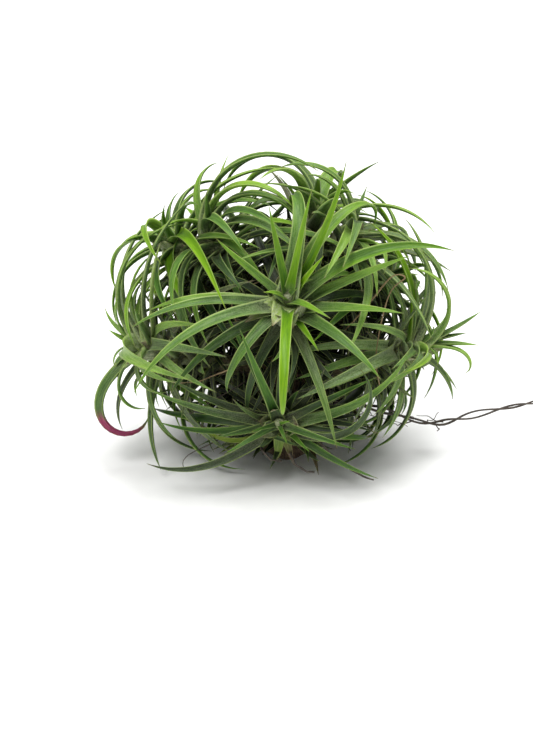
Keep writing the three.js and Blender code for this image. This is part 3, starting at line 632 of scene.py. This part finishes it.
def blade_mesh(middle, normal, half, fields):
    """Closed thin blades from their middle surfaces, as arrays (blade, station, place across): the
    inner face is the surface moved by half the thickness along its normal and the outer face by as
    much against it, and they share the two edge rows. Returns points, faces and fields."""
    inner = middle + normal * half[..., None]
    outer = middle - normal * half[..., None]
    inner[:, :, [0, -1]] = middle[:, :, [0, -1]]
    rings = np.concatenate([inner, outer[:, :, -2:0:-1]], axis=2)
    blades, stations, sides = rings.shape[:3]
    ends = np.stack([rings[:, 0].mean(1), 1.5 * rings[:, -1].mean(1) - 0.5 * rings[:, -2].mean(1)], 1)
    points = np.concatenate([rings.reshape(blades, -1, 3), ends], axis=1)
    spread = {}
    for field, values in fields.items():
        values = np.broadcast_to(values, middle.shape[:3] + values.shape[3:])
        ring = np.concatenate([values, values[:, :, -2:0:-1]], axis=2)
        close = np.stack([ring[:, 0].mean(1), ring[:, -1].mean(1)], 1)
        spread[field] = np.concatenate([ring.reshape(blades, -1, *values.shape[3:]), close], axis=1)
    flat = {field: values.reshape(-1, *values.shape[2:]) for field, values in spread.items()}
    return points.reshape(-1, 3), tube_grid((blades, stations, sides)), flat


def joined_meshes(parts):
    """Several (points, faces, fields) as one."""
    starts = np.cumsum([0] + [len(points) for points, _, _ in parts])
    faces = np.vstack([quads + start for (_, quads, _), start in zip(parts, starts)])
    fields = {name: np.concatenate([part[2][name] for part in parts]) for name in parts[0][2]}
    return np.vstack([part[0] for part in parts]), faces, fields


def column(looks, key):
    """One number of every look, as a column that broadcasts along the stations."""
    return np.array([look[key] for look in looks])[:, None]


def leaf_blades(leaves, looks, grid=FULL):
    """Fine blades on the leaves' own midlines. Across, each is a gutter: an arc of a circle, which
    turns through more of the circle in the clasping root and in the rolled tip. Half its width falls
    with the share of its length to the power taper, and is half as much again in the root, which
    widens into a sheath. The gutter turns slowly about the midline towards the tip, and half the
    thickness falls from the root to the tip and to nothing at the edges."""
    steps, shares = grid
    kept = slice(None, None, STATIONS // steps)
    s = (np.arange(STATIONS + 1) / STATIONS)[kept]
    s[-1] = POINT
    point, along, side, face = (np.stack([leaf["line"][k][kept] for leaf in leaves]) for k in (1, 2, 3, 4))
    length = column(looks, "length")
    point[:, -1] -= along[:, -1] * (1 - s[-1]) * length
    half = column(looks, "width") / 2 * (1 - s ** column(looks, "taper"))
    half = np.maximum(half * (1 + 0.5 * np.exp(-((s / 0.17) ** 2))), LEAST_HALF)[..., None]
    turn = (column(looks, "roll") * s ** 1.5)[..., None]
    side, face = side * np.cos(turn) + face * np.sin(turn), face * np.cos(turn) - side * np.sin(turn)
    side, face = side[:, :, None], face[:, :, None]
    opening = np.radians(OPENING + 18 * np.exp(-((s / 0.12) ** 2)) + 20 * s ** 3)[:, None]
    angle = opening * shares
    radius = (half / np.sin(opening))[..., None]
    sine, cosine = np.sin(angle)[..., None], np.cos(angle)[..., None]
    middle = point[:, :, None] + side * (radius * sine) + face * (radius * (1 - cosine))
    thick = (HALF_THICKNESS * (1 - 0.55 * s))[:, None] * (1 - np.abs(shares) ** 2.2)
    thick = thick * np.minimum(1, half / 0.8)
    fields = leaf_fields(middle, s, half, looks, shares)
    return blade_mesh(middle, face * cosine - side * sine, thick, fields)


def leaf_fields(middle, s, half, looks, shares):
    """What the leaf's skin reads at each point: its grain in mm across and along, its look (tone, frost and
    dryness), its share of the way to the edge, and its blush. The tone falls towards the inside and the foot of
    the clump, as painted shade where the clump shades itself, and rises along the leaf and at its edges. The
    frost is thickest on the root, and the painted shade takes frost away inside and low down, and dryness
    inside. A leaf is dry from where its tip begins."""
    ones = np.ones(middle.shape[:3])
    number = ones * np.arange(len(looks))[:, None, None]
    # painted shade: how deep a point lies in the middle of the clump, where shade falls; it darkens the tone
    # and takes away frost and dryness there
    inner = (SHADE_ENDS_BEYOND - np.sqrt(((middle - SHADE_CENTRE) ** 2).sum(-1))) / (SHADE_ENDS_BEYOND - SHADE_FULL_WITHIN)
    inner = np.clip(inner, 0, 1)
    # painted shade: how low a point lies under the clump; it darkens the tone and takes away frost there
    low = np.clip((LOW_SHADE_HEIGHTS[0] - middle[..., 2]) / (LOW_SHADE_HEIGHTS[0] - LOW_SHADE_HEIGHTS[1]), 0, 1)
    tone = (column(looks, "tone") + TONE["rise"] * (s - 0.45))[..., None] + TONE["edge"] * (shares ** 2 - 0.4)
    tone = tone - TONE["inner"] * inner - TONE["low"] * low
    root = FROST["root"] * np.exp(-((s / 0.16) ** 2)) + FROST["blade"] * np.exp(-((s / 0.5) ** 2))
    silver = np.clip(column(looks, "silver") + root, 0, 1)[..., None]
    silver = silver * (1 - FROST["inner"] * inner) * (1 - FROST["low"] * low)
    tip = column(looks, "tip")
    dry = np.clip(column(looks, "dry") + np.clip((s - 1 + tip) / tip, 0, 1) ** 1.5, 0, 1)[..., None]
    (start, rise), (end, fall) = BLUSH_START, BLUSH_END
    blush = column(looks, "blush") * np.clip((s - start) / rise, 0, 1) * np.clip((end - s) / fall, 0, 1)
    way = (s * column(looks, "length") * STREAK_STRETCH)[..., None]
    return {"grain": np.stack([ones * shares * half, ones * way, number * LEAF_SHIFT], -1),
            "look": np.stack([tone, silver, dry * (1 - DRY_LOST * inner)], -1),
            "edge": ones * np.abs(shares), "blush": ones * blush[..., None]}


def looks_for(leaves, rosette):
    """Each leaf's look: its tone falls and its frost grows with its age, and only the oldest may be dry. The
    leaves inside the clump, with an age over 1, are drier, and darker by painted shade, and the listed young
    ones have tones of their own, which are partly painted light."""
    draw = draws_for("looks", rosette)
    bright = BRIGHT.get(rosette["name"], {})
    looks = []
    for leaf in leaves:
        age, inside = min(leaf["age"], 1), leaf["age"] > 1
        # painted shade: the old leaves that fill the inside are a step darker
        tone = 0.64 - 0.24 * age - 0.15 * inside + 0.2 * next(draw)
        silver = (0.02 + 0.22 * age) * (0.5 + 0.5 * next(draw)) + SILVERY.get(rosette["name"], 0)
        dry = max(0.0, 0.9 * next(draw) - (0.45 if inside else 0.65)) if age > 0.8 else 0.0
        row = leaf["seed"] - 100 * rosette["owner"] - 1
        # partly painted light: these leaves take their listed tones, which also stand in for light shining
        # through them
        if row in bright:
            tone, silver, dry = bright[row], -0.3, 0.0
        width = leaf["width"] * (1.04 + 0.1 * next(draw)) * SLIMMER.get(rosette["name"], 1)
        looks.append(dict(width=width, length=leaf["length"],
                          roll=math.radians(ROLL) * next(draw), tone=tone, silver=silver, dry=dry,
                          tip=0.055 + 0.025 * next(draw), blush=0.0, taper=2.2))
    return looks


def dead_looks(dead):
    """Looks of the dead leaves: slimmer than their solids, with no frost, and dry in three degrees."""
    looks = looks_for(dead, dict(owner=50, name="dead_leaves"))
    for i, look in enumerate(looks):
        look.update(width=look["width"] * 0.8, dry=0.45 + 0.25 * (i % 3), silver=0.0, tone=0.85)
    return looks


def core_looks(core):
    """Looks of the old leaves in the middle: darker, as painted shade for the middle of the clump, and less dry
    than others of their age.
    """
    looks = looks_for(core, dict(owner=51, name="inner_leaves"))
    for look in looks:
        # painted shade: the leaves in the middle of the clump are darkened
        look.update(tone=look["tone"] - 0.25, dry=look["dry"] * 0.6)
    return looks


# ---- Materials ----

def linear(code):
    """An sRGB hex colour as linear numbers."""
    parts = [int(code[i:i + 2], 16) / 255 for i in (1, 3, 5)]
    return (*(c / 12.92 if c <= 0.04045 else ((c + 0.055) / 1.055) ** 2.4 for c in parts), 1.0)


def add(tree, kind, inputs=(), **settings):
    """Adds a node with its settings. Each input is a value, or another node's output that it is linked to."""
    node = tree.nodes.new("ShaderNode" + kind)
    for name, value in settings.items():
        setattr(node, name, value)
    for name, source in dict(inputs).items():
        socket = node.inputs[name]
        if isinstance(source, bpy.types.NodeSocket):
            tree.links.new(source, socket)
        else:
            socket.default_value = source
    return node


def skin(name, **shader):
    """A new material with its shader's own numbers set. Returns it, its nodes and the shader."""
    material = bpy.data.materials.new(name)
    material.use_nodes = True
    tree = material.node_tree
    surface = tree.nodes["Principled BSDF"]
    for socket, value in shader.items():
        surface.inputs[socket.replace("_", " ")].default_value = value
    return material, tree, surface


def ramp(tree, factor, stops):
    """Colours or greys along a factor, as (place, sRGB hex) stops. Returns the colour output."""
    node = add(tree, "ValToRGB", {"Fac": factor})
    elements = node.color_ramp.elements
    while len(elements) < len(stops):
        elements.new(0.5)
    for element, (place, code) in zip(elements, stops):
        element.position = place
        element.color = linear(code)
    return node.outputs["Color"]


def leaf_skin():
    """Tough living leaf under a bloom of small pale scales. It gives bright green channels with fine lengthwise
    streaks, silvery roots with a scaly grain, pale thin rims that are partly the scaly margin and partly a
    painted highlight, straw tips and a soft sheen."""
    material, tree, surface = skin("scaled_air_plant_leaf", Roughness=0.42, Specular_IOR_Level=0.2,
                                   Sheen_Weight=0.015, Sheen_Roughness=0.5, Subsurface_Weight=0.1,
                                   Subsurface_Scale=0.0012)
    surface.inputs["Sheen Tint"].default_value = linear("#e8ecc8")
    surface.inputs["Subsurface Radius"].default_value = (0.6, 1.0, 0.1)
    grain = add(tree, "Attribute", attribute_name="grain").outputs["Vector"]
    look = add(tree, "SeparateXYZ", {"Vector": add(tree, "Attribute", attribute_name="look").outputs["Vector"]})
    edge = add(tree, "Attribute", attribute_name="edge").outputs["Fac"]
    blush = add(tree, "Attribute", attribute_name="blush").outputs["Fac"]
    streak = add(tree, "TexNoise", {"Vector": grain, "Scale": STREAK_SCALE, "Detail": 3.0,
                                    "Roughness": 0.65}).outputs["Fac"]
    patch = add(tree, "TexNoise", {"Vector": grain, "Scale": PATCH_SCALE, "Detail": 2.0}).outputs["Fac"]
    mottle = add(tree, "Math", {0: patch, 1: streak}, operation="ADD").outputs[0]
    varied = add(tree, "MapRange", {"Value": mottle, "From Min": 0.7, "From Max": 1.3, "To Min": -0.17,
                                    "To Max": 0.17}).outputs["Result"]
    tone = add(tree, "Math", {0: look.outputs["X"], 1: varied}, operation="ADD").outputs[0]
    # greens from dark to bright; the darkest stops mostly show the painted shade inside and at the foot of the
    # clump
    green = ramp(tree, tone, [(0.0, "#0c1c08"), (0.25, "#1d3a0e"), (0.5, "#3e6613"), (0.75, "#638c12"),
                              (1.0, "#83a81c")])
    flat = add(tree, "VectorMath", {0: grain, 1: (1, 1 / STREAK_STRETCH, 1)}, operation="MULTIPLY").outputs[0]
    scurf = add(tree, "TexNoise", {"Vector": flat, "Scale": SCURF_SCALE, "Detail": 2.0}).outputs["Fac"]
    scales = add(tree, "Math", {0: streak, 1: scurf}, operation="ADD").outputs[0]
    fine = add(tree, "MapRange", {"Value": scales, "From Min": 0.8, "From Max": 1.2, "To Min": 0.3,
                                  "To Max": 1.0}).outputs["Result"]
    frost = add(tree, "Math", {0: look.outputs["Y"], 1: fine}, operation="MULTIPLY").outputs[0]
    # partly painted highlight: a pale line along every edge, partly the leaf's own scaly margin
    pale_rim_and_highlight = ramp(tree, edge, [(0.0, "#000000"), (0.8, "#000000"), (0.94, "#c8c8c8")])
    magenta = ramp(tree, streak, [(0.3, "#6f2440"), (0.7, "#9c3a62")])
    straw = ramp(tree, streak, [(0.3, "#3f322a"), (0.55, "#74624d"), (0.75, "#a08f70")])
    colour = green
    for share, layer in [(frost, linear("#bcc59c")), (pale_rim_and_highlight, linear("#a8b872")), (blush, magenta),
                         (look.outputs["Z"], straw)]:
        colour = add(tree, "Mix", {"Factor": share, 6: colour, 7: layer}, data_type="RGBA").outputs[2]
    tree.links.new(colour, surface.inputs["Base Color"])
    bump = add(tree, "Bump", {"Height": streak, "Strength": 0.45, "Distance": 0.00012})
    tree.links.new(bump.outputs["Normal"], surface.inputs["Normal"])
    return material


def bark_skin(name, stops, grain_scale, **shader):
    """Dry woody skin with its fibres along the piece: colours by a streaky noise, and its relief."""
    material, tree, surface = skin(name, **shader)
    grain = add(tree, "Attribute", attribute_name="grain").outputs["Vector"]
    streak = add(tree, "TexNoise", {"Vector": grain, "Scale": grain_scale, "Detail": 5.0,
                                    "Roughness": 0.65}).outputs["Fac"]
    tree.links.new(ramp(tree, streak, stops), surface.inputs["Base Color"])
    bump = add(tree, "Bump", {"Height": streak, "Strength": 0.7, "Distance": 0.0003})
    tree.links.new(bump.outputs["Normal"], surface.inputs["Normal"])
    return material


LEAF = leaf_skin()
# Dead corky stem, split lengthwise: dull brown with grey ridges.
OLD_BARK = bark_skin("fibrous_old_stem_bark", [(0.3, "#2a2019"), (0.5, "#54422f"), (0.7, "#85705a")],
                     OLD_BARK_SCALE, Roughness=0.85)
# Old wiry roots: nearly black, with worn grey fibres.
DARK_ROOT_BARK = bark_skin("dark_wiry_root_bark", [(0.3, "#1f1a16"), (0.5, "#433a32"), (0.72, "#776c60")],
                           ROOT_BARK_SCALE, Roughness=0.75)
# Younger wiry roots: tan, smoother, with dark fibres.
TAN_ROOT_BARK = bark_skin("tan_wiry_root_bark", [(0.3, "#493823"), (0.5, "#85704b"), (0.72, "#b29c76")],
                          ROOT_BARK_SCALE, Roughness=0.65)


# ---- Pieces of the plant ----

def bract_blades(rosette):
    """Old sheaths that clasp a rosette's stem, in a golden-angle spiral. Each is a patch of a surface
    round the axis, widest at its foot and drawn to a point. Its distance from the axis grows with the
    square of its place on the stem, and its tip flares off by lift times the square of its own way."""
    draw = draws_for("bracts", rosette)
    axis, right, up = rosette["frame"]
    reach = np.linalg.norm(rosette["heart"] - rosette["base"])
    swell = MORE_SWELL.get(rosette["name"], BRACTS["swell"])
    s = np.linspace(0, 1, BRACTS["steps"] + 1)
    half_angle = math.radians(BRACTS["half_arc"]) * (1 - s ** 2.2)
    half_angle = half_angle * (0.75 + 0.25 * np.exp(-((s / 0.3) ** 2))) + 0.02
    middles, normals, grains, looks = [], [], [], []
    for i in range(BRACTS["count"]):
        t = (i + 0.5) / BRACTS["count"]
        length = BRACTS["length"] + 4 * next(draw)
        centre = math.radians(GOLDEN_ANGLE * i + 25 * next(draw))
        lift = 2.4 + 1.8 * next(draw)
        radius = BRACTS["foot"] + 0.2 * (i % 3) + swell * t ** 2 + lift * s ** 2
        angle = centre + SHARES * half_angle[:, None]
        outward = up * np.cos(angle)[..., None] + right * np.sin(angle)[..., None]
        height = lerp(BRACTS["first"], reach - BRACTS["last"], t) + s * length
        middles.append(rosette["base"] + axis * height[:, None, None] + outward * radius[:, None, None])
        normals.append(-unit(outward - axis * (2 * lift * s / length)[:, None, None]))
        way = (s * length * STREAK_STRETCH)[:, None]
        grains.append(np.stack([SHARES * (half_angle * radius)[:, None], way + 0 * SHARES,
                                0 * angle + LEAF_SHIFT * i], -1))
        tone, frost = 0.4 + 0.2 * next(draw), 0.5 + 0.5 * t
        looks.append((tone, frost, min(max(0.75 - 1.1 * t + 0.35 * next(draw), 0), 1)))
    middle = np.stack(middles)
    ones = np.ones(middle.shape[:3])
    look = ones[..., None] * np.array(looks)[:, None, None]
    look[..., 2] = np.clip(look[..., 2] + 0.8 * (s[:, None] ** 3), 0, 1)
    thick = BRACTS["half_thickness"] * (1 - SHARES ** 2) * ones
    fields = {"grain": np.stack(grains), "look": look, "edge": ones * np.abs(SHARES), "blush": 0 * ones}
    return blade_mesh(middle, np.stack(normals), thick, fields)


def round_tubes(paths, radii, sides):
    """Round tubes on paths of the same count: rings across each path at its radii."""
    points, grains = [], []
    turn = 2 * np.pi * np.arange(sides) / sides
    for number, (path, radius) in enumerate(zip(paths, radii)):
        _, across, over = cross_directions(path)
        ring = across[:, None] * np.cos(turn)[:, None] + over[:, None] * np.sin(turn)[:, None]
        rings = path[:, None] + ring * np.asarray(radius)[:, None, None]
        way = np.concatenate([[0], np.cumsum(np.linalg.norm(np.diff(path, axis=0), axis=1))])
        grain = np.stack([np.cos(turn) + 0 * way[:, None], way[:, None] * BARK_STRETCH + 0 * turn,
                          np.sin(turn) + 0 * way[:, None] + ROOT_SHIFT * number], -1)
        points.append(np.vstack([rings.reshape(-1, 3), path[0], path[-1]]))
        grains.append(np.vstack([grain.reshape(-1, 3), grain[0, 0], grain[-1, 0]]))
    count = len(paths[0])
    return np.vstack(points), tube_grid((len(paths), count, sides)), {"grain": np.vstack(grains)}


def stem_tube(rosette):
    """The rosette's own stem, a tapered bar under its sheaths, a little wavy in its thickness."""
    sides, steps = 16, 14
    t = np.linspace(0, 1, steps + 1)
    path = rosette["base"] + (rosette["heart"] - rosette["base"]) * t[:, None]
    radii = np.interp(t, [0, STEM_MIDDLE, 1], STEM_RADII) * (1 + 0.05 * np.sin(23 * t))
    points, faces, fields = round_tubes([path], [radii], sides)
    zero = np.zeros(len(points))
    dry = np.concatenate([np.repeat(1 - 0.8 * t, sides), [1, 0.2]])
    fields.update(look=np.stack([zero + 0.3, zero + 0.7, dry], -1), edge=zero, blush=zero)
    return points, faces, fields


def make_rosette(rosette):
    """One rosette: all its blades in one mesh, and its stem with the old sheaths in another."""
    name, own = rosette["name"], len(rosette["grown"])
    looks = looks_for(rosette["grown"] + rosette["added"], rosette)
    looks[0].update(FIRST_LOOKS.get(name, {}), width=looks[0]["width"] * FIRST_SLIMMER.get(name, 1))
    laid, laid_looks = extra_leaves(rosette)
    leaves = joined_meshes([leaf_blades(rosette["grown"] + laid, looks[:own] + laid_looks),
                            leaf_blades(rosette["added"], looks[own:], PLAIN)])
    piece_of(name + "_leaves", *leaves, LEAF, "green_leaf", [name])
    parts = joined_meshes([stem_tube(rosette), bract_blades(rosette)])
    piece_of(name + "_sheaths", *parts, LEAF, "green_leaf")


def make_column():
    """The old stem: a turned outline whose radius swells and shrinks with the cosine of its twisted
    turn, into low ridges, and by a grid of small lumps: a sine round it times a sine up it."""
    turns, steps, lump = 96, 70, 0.025
    outline = np.array(MOTHER_OUTLINE, float)
    way = np.concatenate([[0], np.cumsum(np.linalg.norm(np.diff(outline, axis=0), axis=1))])
    at = np.linspace(0, way[-1], steps + 1)[1:-1]
    radius, height = np.interp(at, way, outline[:, 0]), np.interp(at, way, outline[:, 1])
    turn = 2 * np.pi * np.arange(turns) / turns
    ridge = MOTHER_RIDGES["count"] * turn + np.radians(MOTHER_RIDGES["twist"] * height)[:, None]
    swell = 1 + MOTHER_RIDGES["rise"] * np.cos(ridge)
    z = height[:, None]
    lumps = lump * np.sin(11 * turn + 0.5 * z) * np.sin(0.9 * z + 3 * np.cos(turn * 3))
    r = radius[:, None] * (swell + lumps * (z > 1.5))
    ring = np.stack([r * np.cos(turn), r * np.sin(turn), 0 * r + z], -1)
    points = np.vstack([ring.reshape(-1, 3), [0, 0, 0], [0, 0, outline[-1, 1]]])
    return points, tube_grid((1, steps - 1, turns)), {"grain": points * np.array([1, 1, BARK_STRETCH])}


def make_roots(roots, share):
    """Roots on their own paths, of a share of their solids' thickness. Three sine waves of drawn
    phases make each path waver, except where it starts, and one makes its thickness vary."""
    draw = draws_from(ROOT_DRAWS)
    paths, radii = [], []
    t = np.arange(ROOT_STEPS + 1) / ROOT_STEPS
    for root in roots:
        for path in root_strands(root, ROOT_STEPS):
            waves = sum(np.sin((7 + 9 * k) * t[:, None]
                               + 3.1 * np.array([next(draw) for _ in range(3)]) * (k + 1))
                        for k in range(3)) * ROOT_WAVER
            paths.append(path + waves * np.minimum(1, 6 * t)[:, None])
            thickness = share + 0.07 * np.sin(31 * t + 5 * next(draw))
            radii.append(lerp(root["thick"], root["thin"], t) * thickness)
    return round_tubes(paths, radii, ROOT_SIDES)


def wandering(start, way, length, draw):
    """A path from the start along the way, bent by three sine waves of drawn size and phase that
    grow with the share of the path."""
    t = np.linspace(0, 1, ROOTLETS["steps"] + 1)[:, None]
    path = start + way * (length * t)
    for k in (1, 2, 3):
        size = np.array([next(draw) for _ in range(3)]) * length * 0.16 / k
        path = path + size * t * np.sin(2 * np.pi * (0.7 * k * t + next(draw)))
    return path


def make_rootlets():
    """Fine rootlets: most wander out of the old stem, and the last ones off the long wound root."""
    draw = draws_from(ROOTLETS["draws"])
    count = ROOTLETS["count"]
    wound = smooth_path(ROOTS[0]["points"], ROOT_STEPS)
    paths, radii = [], []
    for i in range(count):
        turn = math.radians(GOLDEN_ANGLE * i + 20 * next(draw))
        way = np.array([math.cos(turn), math.sin(turn), 0.45 * next(draw)])
        if i < count - ROOTLETS["off_root"]:
            start, length = np.array([0, 0, 31 + 17 * next(draw)]) + way * 5, 36 + 12 * next(draw)
        else:
            start, length = wound[14 + 2 * (count - i)], 8 + 4 * next(draw)
        path = wandering(start, way, length, draw)
        path[:, 2] = np.maximum(path[:, 2], 1.0)
        paths.append(path)
        radii.append(np.linspace(ROOTLETS["thick"], ROOTLETS["thin"], len(path)) * (1 + 0.3 * next(draw)))
    return round_tubes(paths, radii, ROOTLETS["sides"])


# ---- Build ----

rosettes, dead, core = grow_clump()
for rosette in rosettes:
    make_rosette(rosette)
piece_of("old_stem", *make_column(), OLD_BARK, "woody_stem", ["mother_stem"])
piece_of("wound_root", *make_roots([ROOTS[0], *ROOTS[4:]], WOUND_SHARE), DARK_ROOT_BARK, "woody_stem")
piece_of("single_roots", *make_roots(ROOTS[1:4], SINGLE_SHARE), TAN_ROOT_BARK, "woody_stem")
piece_of("fine_rootlets", *make_rootlets(), DARK_ROOT_BARK, "woody_stem")
piece_of("dead_leaves", *leaf_blades(dead, dead_looks(dead)), LEAF, "woody_stem")
piece_of("inner_leaves", *leaf_blades(core, core_looks(core), PLAIN), LEAF, "green_leaf")


# ---- Floor, light and camera ----

def make_floor():
    """A plain sheet of matte white paper under the plant, which takes only its soft shadow."""
    side = FLOOR_HALF
    mesh = bpy.data.meshes.new("floor_sheet")
    corners = [(-side, -side, 0), (side, -side, 0), (side, side, 0), (-side, side, 0)]
    mesh.from_pydata(corners, [], [(0, 1, 2, 3)])
    material, tree, surface = skin("matte_white_paper", Roughness=0.9)
    place = add(tree, "TexCoord").outputs["Object"]
    fibre = add(tree, "TexNoise", {"Vector": place, "Scale": PAPER_SCALE, "Detail": 2.0}).outputs["Fac"]
    tree.links.new(ramp(tree, fibre, [(0.3, "#f4f4f3"), (0.7, "#f8f8f7")]), surface.inputs["Base Color"])
    mesh.materials.append(material)
    floor = bpy.data.objects.new("floor_sheet", mesh)
    bpy.context.scene.collection.objects.link(floor)


def soft_light(name, place, target, size, power):
    """A square soft light that looks at a point."""
    lamp = bpy.data.lights.new(name, "AREA")
    lamp.shape = "SQUARE"
    lamp.size = size
    lamp.energy = power
    light = bpy.data.objects.new(name, lamp)
    light.location = place
    light.rotation_euler = (Vector(target) - Vector(place)).to_track_quat("-Z", "Y").to_euler()
    bpy.context.scene.collection.objects.link(light)


def make_room():
    """Plain white light from all round, at a third of its strength, and colours shown as they are."""
    world = bpy.data.worlds.new("pale_room")
    world.use_nodes = True
    sky = world.node_tree.nodes["Background"]
    sky.inputs["Color"].default_value = linear("#ffffff")
    sky.inputs["Strength"].default_value = 0.32
    bpy.context.scene.world = world
    bpy.context.scene.view_settings.view_transform = "Standard"


def make_camera():
    """The camera stands DISTANCE back from the clump at ELEVATION, and is turned so that the clump
    lies off the middle of the frame as in the photograph."""
    rise = math.radians(ELEVATION)
    target = np.array(CAMERA_TARGET) * MM
    back = np.array([0, -math.cos(rise), math.sin(rise)])
    up = np.array([0, math.sin(rise), math.cos(rise)])
    place = target + back * DISTANCE
    aim = target + np.array([1, 0, 0]) * AIM[0] * MM + up * AIM[1] * MM
    camera = bpy.data.objects.new("camera", bpy.data.cameras.new("camera"))
    camera.data.sensor_width = SENSOR
    camera.data.lens = LENS
    camera.location = place
    camera.rotation_euler = (Vector(aim) - Vector(place)).to_track_quat("-Z", "Y").to_euler()
    bpy.context.scene.collection.objects.link(camera)
    bpy.context.scene.camera = camera


make_floor()
soft_light("window_light", place=(-0.6, -0.8, 1.5), target=LIT, size=0.8, power=22)
soft_light("top_light", place=(0.4, 0.2, 2.0), target=LIT, size=1.4, power=44)
make_room()
make_camera()
